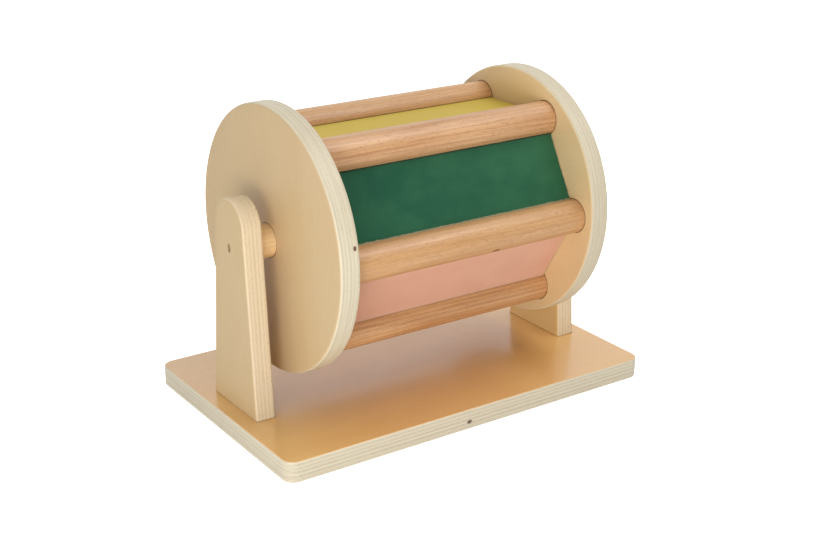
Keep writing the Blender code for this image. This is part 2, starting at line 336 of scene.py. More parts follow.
# %% Outlines, plates, turned solids and holes
MERGE_DISTANCE = 1e-6
SMOOTH_ANGLE = math.radians(28)
RIM_STEPS = 6
CUT_PAST = 0.003


def arc(centre, radius, start, end, steps):
    """Points on a circle from one angle to another, both ends included."""
    angles = [start + (end - start) * step / steps for step in range(steps + 1)]
    return [(centre[0] + radius * math.cos(a), centre[1] + radius * math.sin(a)) for a in angles]


def plate(outline, thickness):
    """Extrude an outline of (x, y) points to a plate centred on Z = 0."""
    bm = bmesh.new()
    face = bm.faces.new([bm.verts.new((x, y, -thickness / 2)) for x, y in outline])
    extruded = bmesh.ops.extrude_face_region(bm, geom=[face])["geom"]
    moved = [item for item in extruded if isinstance(item, bmesh.types.BMVert)]
    bmesh.ops.translate(bm, verts=moved, vec=(0.0, 0.0, thickness))
    bmesh.ops.recalc_face_normals(bm, faces=bm.faces)
    return bm


def rectangle(half_x, half_y):
    return [(half_x, half_y), (-half_x, half_y), (-half_x, -half_y), (half_x, -half_y)]


def round_rims(bm, radius, keeps_sharp=lambda first, second: False):
    """Round the edges around a plate's two faces, except those that keeps_sharp picks."""
    rims = []
    for edge in bm.edges:
        first, second = (vert.co for vert in edge.verts)
        if abs(first.z - second.z) < MERGE_DISTANCE and not keeps_sharp(first, second):
            rims.append(edge)
    bmesh.ops.bevel(bm, geom=rims, offset=radius, offset_type="OFFSET", segments=RIM_STEPS,
                    profile=0.5, affect="EDGES")
    return bm


def turned(profile, steps, closed=False):
    """Turn a profile of (radius, height) points about the Z axis."""
    bm = bmesh.new()
    verts = [bm.verts.new((radius, 0.0, height)) for radius, height in profile]
    edges = [bm.edges.new(pair) for pair in zip(verts, verts[1:])]
    if closed:
        edges.append(bm.edges.new((verts[-1], verts[0])))
    bmesh.ops.spin(bm, geom=verts + edges, cent=(0.0, 0.0, 0.0), axis=(0.0, 0.0, 1.0),
                   angle=math.tau, steps=steps, use_merge=True)
    bmesh.ops.remove_doubles(bm, verts=bm.verts, dist=MERGE_DISTANCE)
    bmesh.ops.recalc_face_normals(bm, faces=bm.faces)
    return bm


def moved(bm, matrix):
    bm.transform(matrix)
    bmesh.ops.recalc_face_normals(bm, faces=bm.faces)
    return bm


def bare_object(name, bm):
    mesh = bpy.data.meshes.new(name)
    bm.to_mesh(mesh)
    bm.free()
    thing = bpy.data.objects.new(name, mesh)
    bpy.context.scene.collection.objects.link(thing)
    return thing


def carved(bm, cutters):
    """Cut every cutter out of a solid and give back the result as a new bmesh."""
    solid = bare_object("solid_being_cut", bm)
    tools = [bare_object("cutter", cutter) for cutter in cutters]
    for tool in tools:
        cut = solid.modifiers.new("cut", "BOOLEAN")
        cut.operation = "DIFFERENCE"
        cut.solver = "EXACT"
        cut.object = tool
    seen = solid.evaluated_get(bpy.context.evaluated_depsgraph_get())
    result = bmesh.new()
    result.from_mesh(seen.to_mesh())
    seen.to_mesh_clear()
    for thing in [solid, *tools]:
        bpy.data.objects.remove(thing, do_unlink=True)
    return result


def band(bm, first, second):
    """A closed band of faces between two rings with the same number of points."""
    for index in range(len(first)):
        following = (index + 1) % len(first)
        bm.faces.new((first[index], first[following], second[following], second[index]))


def drill(radius, depth, mouth, steps):
    """A cutter for a round hole that opens at Z = 0 towards +Z, with a small chamfer at its mouth."""
    profile = [(0.0, -depth), (radius, -depth), (radius, -mouth), (radius + mouth, 0.0),
               (radius + mouth, CUT_PAST), (0.0, CUT_PAST)]
    return turned(profile, steps)


print("smooth up to", round(math.degrees(SMOOTH_ANGLE)), "degrees")

# %% [markdown]
# Every finished piece goes through the same last step. It gets its material, rides on the body that
# the design gives it, and stands in for the plain design node. A piece is only ever shifted to its
# place and never turned as an object, so its own coordinates keep the directions of the toy, which
# makes the grain easy to aim.

# %% Finish a piece and put it in place
def finish_piece(name, bm, place, material, body, replaced=None):
    bmesh.ops.remove_doubles(bm, verts=bm.verts, dist=MERGE_DISTANCE)
    bmesh.ops.recalc_face_normals(bm, faces=bm.faces)
    piece = bare_object(name, bm)
    piece.data.shade_smooth()
    piece.data.set_sharp_from_angle(angle=SMOOTH_ANGLE)
    piece.data.materials.append(material)
    piece.location = place
    flat_faces = piece.modifiers.new("flat_faces_stay_flat", "WEIGHTED_NORMAL")
    flat_faces.keep_sharp = True
    bpy.context.view_layer.update()
    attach(piece, body)
    if replaced:
        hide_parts(replaced)
    return piece


# %% [markdown]
# ## Birch plywood
# The board is made of eleven thin birch veneers, glued with their grain crossed in turn. A face shows
# one long-grained veneer, peeled from a turning log, so its figure is broad and faint with fine short
# pores. A cut edge shows all the plies as bands. Where a ply is cut along its grain the band is pale
# and smooth, and where it is cut across, the open ends of the fibres drink light and look darker.
# A picture could be wrapped around the board, but then faces and edges wouldn't agree. So the colour
# is worked out from the depth in the board: the group gets the place and the surface direction in the
# sheet's own directions (grain along X, thickness along Z) and knows which ply is cut, and how.

# %% The plywood group
ORIGIN = (0.0, 0.0, 0.0)
PLY_COUNT = 11
PLY_MARGIN = 0.01                     # keeps the two faces inside the first and the last ply
NO_KNOT = (9.0, 9.0, 9.0)             # so far away that no knot shows
PLYWOOD_TAKES = {
    "Place": ORIGIN,
    "Facing": (0.0, 0.0, 1.0),
    "Thickness": 0.015,
    "Seed": 0.0,
    "Face": rgb(217, 188, 140),
    "Face Figure": rgb(203, 170, 118),
    "Long Ply": rgb(227, 217, 190),
    "Cross Ply": rgb(204, 191, 162),
    "Knot Place": NO_KNOT,
    "Knot Size": 0.0015,
}
plywood_group, w, given = start_group(
    "plywood_sheet", PLYWOOD_TAKES, {"Colour": "Color", "Height": "Float", "Cut Edge": "Float"})

offset = w.joined(given["Seed"], w.times(given["Seed"], 1.7), 0.0)
seeded = w.vector("ADD", given["Place"], offset)
_, _, depth = w.parts(given["Place"])
facing_x, facing_y, facing_z = (w.maths("ABSOLUTE", part) for part in w.parts(given["Facing"]))
on_edge = w.spread(facing_z, 0.55, 0.95, 1.0, 0.0)

# Face veneer: broad figure, fine fibres along the grain, and short open pores.
figure = w.spread(w.noise(seeded, (4.0, 24.0, 1.0), 3.0, 0.55, 0.25), 0.34, 0.70)
blotch = w.spread(w.noise(seeded, (9.0, 13.0, 1.0)), 0.35, 0.68)
fibre = w.noise(seeded, (38.0, 1100.0, 1.0), 3.0, 0.6)
pores = w.spread(w.noise(seeded, (170.0, 2300.0, 1.0), 1.0), 0.66, 0.74)
face = w.mix(w.times(figure, 0.30), given["Face"], given["Face Figure"])
face = w.mix(w.times(blotch, 0.14), face, rgb(226, 180, 142))
face = w.mix(w.spread(fibre, 0.30, 0.72, 0.0, 0.30, "LINEAR"), face, given["Face Figure"])
face = w.mix(w.times(pores, 0.30), face, rgb(150, 108, 66))

# Cut edge: which ply is cut, which way its grain runs, and the thin glue line beside it.
waver = w.noise(seeded, (26.0, 26.0, 4.0))
level = w.plus(w.maths("DIVIDE", depth, given["Thickness"]), 0.5)
level = w.plus(level, w.spread(waver, 0.0, 1.0, -0.014, 0.014, "LINEAR"))
plies = w.spread(level, 0.0, 1.0, PLY_MARGIN, PLY_COUNT - PLY_MARGIN, "LINEAR")
number = w.maths("FLOOR", plies)
crossed = w.maths("PINGPONG", number, 1.0)
inside_ply = w.maths("PINGPONG", plies, 0.5)
glue_line = w.spread(inside_ply, 0.02, 0.13, 1.0, 0.0)
end_grain = w.plus(w.times(crossed, facing_y), w.times(w.minus(1.0, crossed), facing_x))
own_tone = w.add("ShaderNodeTexWhiteNoise", {"W": w.plus(number, given["Seed"])},
                 noise_dimensions="1D").outputs["Value"]
darkness = w.plus(w.times(end_grain, 0.36), w.times(crossed, 0.10))
darkness = w.plus(darkness, w.spread(own_tone, 0.0, 1.0, -0.14, 0.24, "LINEAR"))
layered = w.joined(*w.parts(seeded)[:2], depth)
streaks = w.noise(layered, (55.0, 55.0, 3600.0), 2.0, 0.6)
darkness = w.plus(darkness, w.spread(streaks, 0.25, 0.75, -0.22, 0.26, "LINEAR"), clamp=True)
fibre_ends = w.noise(layered, (1500.0, 1500.0, 1800.0), 1.0)
edge = w.mix(darkness, given["Long Ply"], given["Cross Ply"])
open_ends = w.times(w.spread(fibre_ends, 0.50, 0.72), w.times(end_grain, 0.42))
edge = w.mix(open_ends, edge, rgb(168, 134, 92))
broken = w.spread(w.noise(layered, (40.0, 40.0, 700.0)), 0.38, 0.62, 0.25, 1.0)
joint = w.plus(w.maths("ROUND", plies), given["Seed"])
own_line = w.add("ShaderNodeTexWhiteNoise", {"W": joint}, noise_dimensions="1D").outputs["Value"]
broken = w.times(broken, w.spread(own_line, 0.30, 1.0, 0.03, 0.50, "LINEAR"))
edge = w.mix(w.times(glue_line, broken), edge, rgb(172, 130, 96))

# One small dark knot where a branch was cut through.
knot_far = w.vector("DISTANCE", w.vector("MULTIPLY", given["Place"], (1.0, 1.0, 1.5)),
                    w.vector("MULTIPLY", given["Knot Place"], (1.0, 1.0, 1.5)))
knot_far = w.plus(knot_far, w.spread(fibre_ends, 0.0, 1.0, -0.0003, 0.0003, "LINEAR"))
in_knot = w.spread(w.maths("DIVIDE", knot_far, given["Knot Size"]), 0.55, 1.0, 1.0, 0.0)
colour = w.mix(on_edge, face, edge)
colour = w.mix(w.times(in_knot, 0.95), colour, rgb(92, 50, 18))

face_height = w.minus(w.times(fibre, 0.6), w.times(pores, 0.5))
edge_height = w.minus(w.times(streaks, 0.7), w.times(glue_line, 0.35))
height = w.plus(w.times(edge_height, on_edge), w.times(face_height, w.minus(1.0, on_edge)))
end_group(w, {"Colour": colour, "Height": height, "Cut Edge": on_edge})

# %% [markdown]
# ## Beech rod
# Beech is pinkish tan and dense. A turned rod cuts through the growth rings at a slant, so its colour
# drifts in soft stripes along the length. The wood's rays show as many short dark flecks, a
# millimetre or three long, all lying along the rod. The group places the middle of the tree a few
# centimetres beside the rod, measures the rings from it, and sprinkles the flecks with strongly
# stretched noise.

# %% The beech group
HEART = (0.0, -0.021, -0.034)         # where the middle of the tree lies beside a rod
RING_WIDTH = 0.0031
BEECH_TAKES = {
    "Place": ORIGIN,
    "Seed": 0.0,
    "Pale": rgb(216, 168, 116),
    "Warm": rgb(192, 139, 87),
    "Fleck": rgb(142, 80, 42),
    "Knot Place": NO_KNOT,
    "Knot Size": 0.002,
}
beech_group, w, given = start_group("beech_rod", BEECH_TAKES, {"Colour": "Color", "Height": "Float"})

offset = w.joined(given["Seed"], w.times(given["Seed"], 0.31), 0.0)
seeded = w.vector("ADD", given["Place"], offset)
sway = w.noise(seeded, (7.0, 20.0, 20.0))
along, across, up = w.parts(given["Place"])
from_heart = w.vector("DISTANCE", w.joined(0.0, across, up), HEART)
from_heart = w.plus(from_heart, w.spread(sway, 0.0, 1.0, -0.0022, 0.0022, "LINEAR"))
from_heart = w.plus(from_heart, w.times(along, 0.012))
rings = w.maths("FRACT", w.maths("DIVIDE", from_heart, RING_WIDTH))
late_wood = w.times(rings, w.spread(rings, 0.88, 1.0, 1.0, 0.0))
drift = w.spread(w.noise(seeded, (9.0, 60.0, 60.0)), 0.34, 0.68)
streak = w.noise(seeded, (16.0, 760.0, 760.0), 3.0, 0.6)
flecks = w.spread(w.noise(seeded, (300.0, 2100.0, 2100.0), 1.0, 0.4), 0.60, 0.70)
long_flecks = w.spread(w.noise(seeded, (90.0, 1500.0, 1500.0), 1.0, 0.4), 0.64, 0.74)

warmth = w.plus(w.times(late_wood, 0.34), w.times(drift, 0.36))
warmth = w.plus(warmth, w.spread(streak, 0.30, 0.70, -0.26, 0.42, "LINEAR"), clamp=True)
colour = w.mix(warmth, given["Pale"], given["Warm"])
colour = w.mix(w.times(flecks, 0.34), colour, given["Fleck"])
colour = w.mix(w.times(long_flecks, 0.26), colour, given["Fleck"])
knot_far = w.vector("DISTANCE", w.vector("MULTIPLY", given["Place"], (0.6, 1.0, 1.0)),
                    w.vector("MULTIPLY", given["Knot Place"], (0.6, 1.0, 1.0)))
in_knot = w.spread(w.maths("DIVIDE", knot_far, given["Knot Size"]), 0.50, 1.0, 1.0, 0.0)
colour = w.mix(w.times(in_knot, 0.90), colour, rgb(88, 46, 18))
height = w.minus(w.times(streak, 0.6), w.times(flecks, 0.5))
end_group(w, {"Colour": colour, "Height": height})

# %% [markdown]
# ## Paint on a thin panel
# The panels are painted matt with a small roller. That leaves a fine orange-peel bump, a film that is
# thicker in patches, and a worn one along the four edges, where the pale wood shines through. The
# colour also drifts towards the thicker tone along the panel, up to its left end. A painted shade lays
# a dark line along the panel beside one rod, and a painted highlight a pale line beside the other.
# The group measures how near a point is to an edge or a rod from the panel's own half sizes.

# %% The paint group
PAINT_TAKES = {
    "Place": ORIGIN,
    "Half Size": (0.1, 0.03, 0.0025),
    "Beside Rod": 0.024,       # from the panel's middle to where a rod begins
    "Seed": 0.0,
    "Paint": rgb(45, 100, 75),
    "Thick Paint": rgb(38, 90, 66),
    "Bare Wood": rgb(226, 206, 170),
}
paint_group, w, given = start_group("rolled_paint", PAINT_TAKES, {"Colour": "Color", "Height": "Float"})

seeded = w.vector("ADD", given["Place"], w.joined(given["Seed"], 0.0, given["Seed"]))
cloud = w.spread(w.noise(seeded, (34.0, 40.0, 34.0), 3.0, 0.6), 0.34, 0.68)
along, across, _ = w.parts(given["Place"])
# The colour drifts to the thicker tone towards the panel's left end, on top of the thicker patches.
drift_towards_left_end = w.spread(along, -0.10, 0.10, 1.0, 0.0, "LINEAR")
stripe = w.noise(seeded, (12.0, 210.0, 12.0))
stipple = w.noise(seeded, (1150.0, 1150.0, 1150.0))
to_end = [w.minus(half, w.maths("ABSOLUTE", part))
          for part, half in zip(w.parts(given["Place"]), w.parts(given["Half Size"]))]
chip = w.spread(w.noise(seeded, (260.0, 260.0, 260.0), 3.0, 0.6), 0.3, 0.7, 0.0, 0.0006, "LINEAR")
near_edge = w.minus(w.maths("MINIMUM", to_end[0], to_end[1]), chip)
thin = w.spread(near_edge, 0.0001, 0.0008, 1.0, 0.0)
thickness = w.plus(w.times(cloud, 0.42), w.times(drift_towards_left_end, 0.75), clamp=True)
colour = w.mix(thickness, given["Paint"], given["Thick Paint"])
colour = w.mix(w.spread(stripe, 0.3, 0.7, 0.0, 0.22, "LINEAR"), colour, given["Thick Paint"])
colour = w.mix(w.times(thin, 0.75), colour, given["Bare Wood"])
# Painted shade: a dark line along the panel beside one rod, where the rod shades it.
painted_rod_shade = w.spread(w.minus(given["Beside Rod"], across), 0.0001, 0.0016, 0.60, 0.0)
colour = w.mix(painted_rod_shade, colour, rgb(46, 36, 18))
# Painted highlight: a pale line in the bare wood's colour beside the other rod.
painted_rod_highlight = w.spread(w.minus(w.plus(given["Beside Rod"], across), chip), 0.0001, 0.0006, 0.45, 0.0)
colour = w.mix(painted_rod_highlight, colour, given["Bare Wood"])
end_group(w, {"Colour": colour, "Height": stipple})

# %% [markdown]
# ## Uneven sheen
# Nothing is equally glossy all over. Lacquer sinks into the wood in some places, and hands leave
# marks. The wood and the paint share this small group, which gives a roughness that wanders between
# two values, with a few smudges on top.

# %% The sheen group
SHEEN_TAKES = {
    "Place": ORIGIN,
    "Smooth": 0.35,
    "Rough": 0.5,
    "Extra": 0.0,
}
sheen_group, w, given = start_group("uneven_sheen", SHEEN_TAKES, {"Roughness": "Float"})
wander = w.noise(given["Place"], (22.0, 22.0, 22.0), 3.0, 0.6)
smudge = w.spread(w.noise(given["Place"], (55.0, 70.0, 60.0), 1.0), 0.50, 0.75, 0.0, 0.3)
mixture = w.plus(w.spread(wander, 0.32, 0.68), smudge, clamp=True)
span = w.minus(given["Rough"], given["Smooth"])
roughness = w.plus(given["Smooth"], w.times(mixture, span))
roughness = w.plus(roughness, given["Extra"], clamp=True)
end_group(w, {"Roughness": roughness})

# %% [markdown]
# ## The finishes
# Each material reads its own object's coordinates and turns them into the directions that its group
# expects. The sheet of an upright or a disc stands on its edge, so it is turned once. The clear
# lacquer is the shader's coat. The base board is sanded finer and lacquered twice, so it mirrors the
# drum softly. The uprights and discs are more satin, the rods are oiled, and the paint has no coat.

# %% Materials of wood and paint
WOOD_BUMP = 0.35                  # how strongly the wood's height shows
WOOD_RELIEF = 0.00015
CUT_EDGE_ROUGHER = 0.14           # open fibres drink the lacquer
PAINT_SPECULAR = 0.15             # chalky paint mirrors little
# How far from a panel's middle its outer face meets the round of a rod.
BESIDE_ROD = ROD_CIRCLE * math.sin(STEP_ANGLE / 2) - math.sqrt(ROD_RADIUS ** 2 - (PANEL_SIZE.z / 2) ** 2)


def start_material(name, coat=0.0, coat_roughness=0.3):
    material = bpy.data.materials.new(name)
    material.use_nodes = True
    shader = material.node_tree.nodes["Principled BSDF"]
    shader.inputs["Coat Weight"].default_value = coat
    shader.inputs["Coat Roughness"].default_value = coat_roughness
    return material, shader, Wiring(material.node_tree)


def own_directions(w, turn=Matrix.Identity(3)):
    """The piece's own place and surface direction, seen in the directions of its sheet or rod."""
    source = w.add("ShaderNodeTexCoord").outputs
    angles = turn.to_euler()
    return [w.add("ShaderNodeMapping", {"Vector": source[kind], "Rotation": angles},
                  vector_type="TEXTURE").outputs[0] for kind in ("Object", "Normal")]


def use_group(w, group, inputs):
    return w.add("ShaderNodeGroup", inputs, node_tree=group).outputs


def sheen(w, place, smooth, rough, extra=0.0):
    inputs = {"Place": place, "Smooth": smooth, "Rough": rough, "Extra": extra}
    return use_group(w, sheen_group, inputs)["Roughness"]


def wire_shader(w, shader, colour, roughness, height, strength, distance):
    """Feed a colour and a roughness to the shader, and a height through a bump node."""
    bump = w.add("ShaderNodeBump", {"Height": height, "Strength": strength, "Distance": distance})
    w.feed(shader.inputs["Base Color"], colour)
    w.feed(shader.inputs["Roughness"], roughness)
    w.feed(shader.inputs["Normal"], bump.outputs[0])


def plywood(name, turn, seed, tones, smooth=0.36, rough=0.50, coat=0.25, coat_roughness=0.30,
            coat_ior=1.5):
    material, shader, w = start_material(name, coat, coat_roughness)
    shader.inputs["Coat IOR"].default_value = coat_ior
    place, facing = own_directions(w, turn)
    wood = use_group(w, plywood_group, {"Place": place, "Facing": facing, "Thickness": BOARD,
                                        "Seed": seed, **tones})
    roughness = sheen(w, place, smooth, rough, w.times(wood["Cut Edge"], CUT_EDGE_ROUGHER))
    wire_shader(w, shader, wood["Colour"], roughness, wood["Height"], WOOD_BUMP, WOOD_RELIEF)
    return material


def beech(name, seed, tones):
    material, shader, w = start_material(name, 0.38, 0.36)
    place, _ = own_directions(w)
    wood = use_group(w, beech_group, {"Place": place, "Seed": seed, **tones})
    roughness = sheen(w, place, 0.34, 0.48)
    wire_shader(w, shader, wood["Colour"], roughness, wood["Height"], WOOD_BUMP, WOOD_RELIEF)
    return material


def painted(name, turn, seed, paint, thick):
    material, shader, w = start_material(name)
    shader.inputs["Specular IOR Level"].default_value = PAINT_SPECULAR
    place, _ = own_directions(w, turn)
    film = use_group(w, paint_group, {
        "Place": place, "Half Size": PANEL_SIZE / 2, "Beside Rod": BESIDE_ROD, "Seed": seed,
        "Paint": paint, "Thick Paint": thick})
    wire_shader(w, shader, film["Colour"], sheen(w, place, 0.50, 0.64), film["Height"], 0.25, 0.00012)
    return material


print("groups:", ", ".join(group.name for group in bpy.data.node_groups))

# %% [markdown]
# ## The base board
# The base is a plain board with rounded corners, its rims just broken so that no edge is sharp. Four
# countersunk holes from below take the screws that hold the uprights. The outline is four quarter
# arcs joined by straight lines.

# %% Make the base board
CORNER_STEPS = 24
HOLE_STEPS = 48
SCREW_RADIUS = 0.002
HEAD_RIM = 0.0004
HEAD_RADIUS = (screw_high.x - screw_low.x) / 2
SCREW_SINK = screw_low.z
SCREWS = {name: corners(name) for name in
          ("left_front_screw", "left_back_screw", "right_front_screw", "right_back_screw")}


def base_outline():
    corner_x = base_high.x - BASE_CORNER_RADIUS
    corner_y = base_high.y - BASE_CORNER_RADIUS
    outline = []
    for quarter, (side_x, side_y) in enumerate(((1, 1), (-1, 1), (-1, -1), (1, -1))):
        start = quarter * math.pi / 2
        centre = (side_x * corner_x, side_y * corner_y)
        outline += arc(centre, BASE_CORNER_RADIUS, start, start + math.pi / 2, CORNER_STEPS)
    return outline


def countersink(x, y):
    """The hole for one screw, opening downwards at the board's underside."""
    head = HEAD_RADIUS + GLUE_GAP
    shank = SCREW_RADIUS + GLUE_GAP
    cone_start = SCREW_SINK + HEAD_RIM
    profile = [(0.0, -CUT_PAST), (head, -CUT_PAST), (head, cone_start),
               (shank, cone_start + HEAD_RADIUS - SCREW_RADIUS), (shank, BOARD + CUT_PAST),
               (0.0, BOARD + CUT_PAST)]
    return moved(turned(profile, HOLE_STEPS), Matrix.Translation((x, y, -BOARD / 2)))


base_bm = round_rims(plate(base_outline(), BOARD), BASE_EDGE_RADIUS)
holes = [countersink((low.x + high.x) / 2, (low.y + high.y) / 2) for low, high in SCREWS.values()]
base_tones = {"Face": rgb(237, 190, 118), "Face Figure": rgb(218, 164, 90),
              "Knot Place": (-0.0078, -base_high.y, -0.0018), "Knot Size": 0.0026}
base_finish = plywood("base_birch_lacquered", Matrix.Identity(3), 1.3, base_tones,
                      smooth=0.285, rough=0.37, coat=1.0, coat_roughness=0.19, coat_ior=1.55)
base_middle = (0.0, 0.0, (base_low.z + base_high.z) / 2)
base = finish_piece("base_board_plywood", carved(base_bm, holes), base_middle, base_finish,
                    "stand", "base_board")
print("base board:", len(base.data.polygons), "faces")

# %% [markdown]
# ## The uprights
# An upright is a tapered post with a round top. Its straight sides must run into the round top
# without a corner, so the point where they touch is worked out as the tangent from the foot to the
# top circle. The rims are rounded all around, except at the foot, which is glued down. A blind bore
# in the inner face carries the axle. The point of the drill has come through to the outer face, and
# that little hole was filled.

# %% Make the uprights
TOP_STEPS = 64
ROUND_STEPS = 128
PATCH_HOLE_RADIUS = 0.0015
PATCH_HOLE_MOUTH = 0.0001
BORE_DEPTH = axle_high.x + RUNNING_GAP - upright_low.x


def upright_outline():
    """Half sides from the foot to the tangent of the top circle, with the axle's centre at 0, 0."""
    foot = Vector((upright_high.y, upright_low.z - AXLE_HEIGHT))
    top_centre = Vector((0.0, upright_high.z - AXLE_HEIGHT - UPRIGHT_TOP_RADIUS))
    to_foot = foot - top_centre
    tangent = math.atan2(to_foot.y, to_foot.x) + math.acos(UPRIGHT_TOP_RADIUS / to_foot.length)
    top = arc(top_centre, UPRIGHT_TOP_RADIUS, tangent, math.pi - tangent, TOP_STEPS)
    return [tuple(foot), *top, (-foot.x, foot.y)]


def standing(side):
    """Turns a plate made flat to a standing one whose +Z face looks outwards, to the given side."""
    return Matrix(((0, 0, side, 0), (side, 0, 0, 0), (0, 1, 0, 0), (0, 0, 0, 1)))


def upright_solid(side):
    lowest = upright_low.z - AXLE_HEIGHT + MERGE_DISTANCE
    post = round_rims(plate(upright_outline(), BOARD), UPRIGHT_EDGE_RADIUS,
                      lambda first, second: max(first.y, second.y) < lowest)
    bore = moved(drill(AXLE_RADIUS + RUNNING_GAP, BORE_DEPTH, BORE_MOUTH, ROUND_STEPS),
                 Matrix.Translation((0.0, 0.0, -BOARD / 2)) @ Matrix.Rotation(math.pi, 4, "X"))
    point_hole = moved(
        drill(PATCH_HOLE_RADIUS, BOARD - BORE_DEPTH + CUT_PAST / 2, PATCH_HOLE_MOUTH, HOLE_STEPS),
        Matrix.Translation((0.0, 0.0, BOARD / 2)))
    return moved(carved(post, [bore, point_hole]), standing(side))


SHEET_TURN = {side: standing(side).to_3x3() @ Matrix.Rotation(math.pi / 2, 3, "Z") for side in (-1, 1)}
SIDES = {"left": -1, "right": 1}
UPRIGHT_LOOKS = {
    # side: (face, face figure, knot place)
    "left": (rgb(211, 185, 139), rgb(198, 167, 117), (0.052, 0.0170, -0.001)),
    # The right upright's warmer, more amber tones are painted shade: the warm colour of the shade on its
    # inner face.
    "right": (rgb(222, 187, 125), rgb(208, 169, 105), (-0.040, 0.0, 0.0075)),
}
for side_name, side in SIDES.items():
    face, figure, knot = UPRIGHT_LOOKS[side_name]
    tones = {"Face": face, "Face Figure": figure, "Knot Place": knot, "Knot Size": 0.0012,
             "Long Ply": rgb(238, 219, 185), "Cross Ply": rgb(224, 202, 165)}
    finish = plywood(f"{side_name}_upright_birch_lacquered", SHEET_TURN[side], 5.1 + side, tones)
    upright = finish_piece(f"{side_name}_upright_plywood", upright_solid(side),
                           (side * UPRIGHT_X, 0.0, AXLE_HEIGHT), finish, "stand",
                           f"{side_name}_upright")
    print(upright.name, len(upright.data.polygons), "faces")

# %% [markdown]
# ## The discs
# A disc has a rounded rim, a through bore for the axle and six blind sockets for the rods. Cutting so
# many holes with Booleans leaves long thin faces, so the disc is built the other way round: its rim,
# its bore and its sockets are rings of points joined by bands of faces, and each flat face is then
# filled in between its circles. The rods end in their sockets with a hair of air around them, which
# the glue fills further down.

# %% Make the discs
RIM_TURN_STEPS = 240
SOCKET_DEPTH = ROD_HALF_LENGTH + GLUE_GAP - disc_low.x


def circle(bm, centre, radius, height, steps):
    points = arc(centre, radius, 0.0, math.tau * (steps - 1) / steps, steps - 1)
    return [bm.verts.new((x, y, height)) for x, y in points]


def bands(bm, centre, stations, steps):
    """Bands through rings of (radius, height). Returns the first and the last ring."""
    rings = [circle(bm, centre, radius, height, steps) for radius, height in stations]
    for first, second in zip(rings, rings[1:]):
        band(bm, first, second)
    return rings[0], rings[-1]


def fill_between(bm, rings):
    """Fill the flat face that the first ring bounds, leaving the other rings open."""
    verts = [vert for ring in rings for vert in ring]
    edges = []
    start = 0
    for ring in rings:
        edges += [(start + step, start + (step + 1) % len(ring)) for step in range(len(ring))]
        start += len(ring)
    flat = [vert.co.to_2d() for vert in verts]
    triangles = delaunay_2d_cdt(flat, edges, [], 0, 1e-9)[2]
    holes = [(centre_of(ring), (ring[0].co.to_2d() - centre_of(ring)).length) for ring in rings[1:]]
    for triangle in triangles:
        middle = sum((flat[index] for index in triangle), Vector((0.0, 0.0))) / 3
        if not any((middle - centre).length < radius for centre, radius in holes):
            bm.faces.new([verts[index] for index in triangle])


def centre_of(ring):
    return sum((vert.co.to_2d() for vert in ring), Vector((0.0, 0.0))) / len(ring)


def socket_centres(side):
    """Where the six rods enter a disc, in sheet directions."""
    turned_rods = [Matrix.Rotation((number - 0.5) * STEP_ANGLE, 3, "X") @ Vector((0.0, 0.0, ROD_CIRCLE))
                   for number in range(len(PANEL_NAMES))]
    return [(standing(side).to_3x3().inverted() @ middle).to_2d() for middle in turned_rods]


def disc_solid(side):
    """A disc in sheet directions, its outer face at +Z, then stood up to the given side."""
    rim = DISC_RADIUS - DISC_EDGE_RADIUS
    face = BOARD / 2
    shoulder = face - DISC_EDGE_RADIUS
    rounded = arc((rim, -shoulder), DISC_EDGE_RADIUS, -math.pi / 2, 0.0, RIM_STEPS)
    rounded += arc((rim, shoulder), DISC_EDGE_RADIUS, 0.0, math.pi / 2, RIM_STEPS)
    bore = AXLE_RADIUS + GLUE_GAP
    socket = ROD_RADIUS + GLUE_GAP
    bm = bmesh.new()
    inner_rim, outer_rim = bands(bm, (0.0, 0.0), rounded, RIM_TURN_STEPS)
    inner_bore, outer_bore = bands(
        bm, (0.0, 0.0), [(bore + BORE_MOUTH, -face), (bore, -face + BORE_MOUTH),
                         (bore, face - BORE_MOUTH), (bore + BORE_MOUTH, face)], ROUND_STEPS)
    mouths = []
    for centre in socket_centres(side):
        mouth, floor_ring = bands(
            bm, centre, [(socket + BORE_MOUTH, -face), (socket, -face + BORE_MOUTH),
                         (socket, -face + SOCKET_DEPTH)], ROUND_STEPS)
        bm.faces.new(floor_ring)
        mouths.append(mouth)
    fill_between(bm, [inner_rim, inner_bore, *mouths])
    fill_between(bm, [outer_rim, outer_bore])
    return moved(bm, standing(side))


DISC_LOOKS = {
    # side: (turn of the grain, face, face figure, knot place in the toy's directions)
    "left": (math.radians(7), rgb(213, 186, 141), rgb(199, 168, 119), (0.0040, -0.0900, 0.0190)),
    # The right disc's paler tones are painted light: they stand in for more light on its inner face.
    "right": (math.radians(64), rgb(228, 201, 152), rgb(214, 182, 129), NO_KNOT),
}
for side_name, side in SIDES.items():
    grain_turn, face, figure, knot = DISC_LOOKS[side_name]
    turn = SHEET_TURN[side] @ Matrix.Rotation(grain_turn, 3, "Z")
    tones = {"Face": face, "Face Figure": figure, "Knot Place": turn.inverted() @ Vector(knot),
             "Knot Size": 0.0022}
    finish = plywood(f"{side_name}_disc_birch_lacquered", turn, 11.7 + 2 * side, tones)
    disc = finish_piece(f"{side_name}_disc_plywood", disc_solid(side), (side * DISC_X, 0.0, AXLE_HEIGHT),
                        finish, "drum", f"{side_name}_disc")
    print(disc.name, len(disc.data.polygons), "faces")

# %% [markdown]
# ## The rods
# A rod is round stock with two grooves along it, in which the neighbouring panels sit. Its section is
# drawn as an arc, a groove, an arc and a groove, and pulled along the axle. The last millimetre at
# each end is a chamfer that helps the rod into its socket. Each rod is cut from another length of
# stock, so each gets its own rings and flecks. Three come from livelier stock, and one has a knot.

# %% Make the rods
ROD_ARC_STEPS = 72
GROOVE_HALF_WIDTH = PANEL_SIZE.z / 2 + GLUE_GAP
GROOVE_FLOOR = ROD_CIRCLE * math.sin(STEP_ANGLE / 2) - PANEL_SIZE.y / 2 - GLUE_GAP
GROOVE_ANGLE = math.pi / 2 + STEP_ANGLE / 2      # from straight outwards to a groove


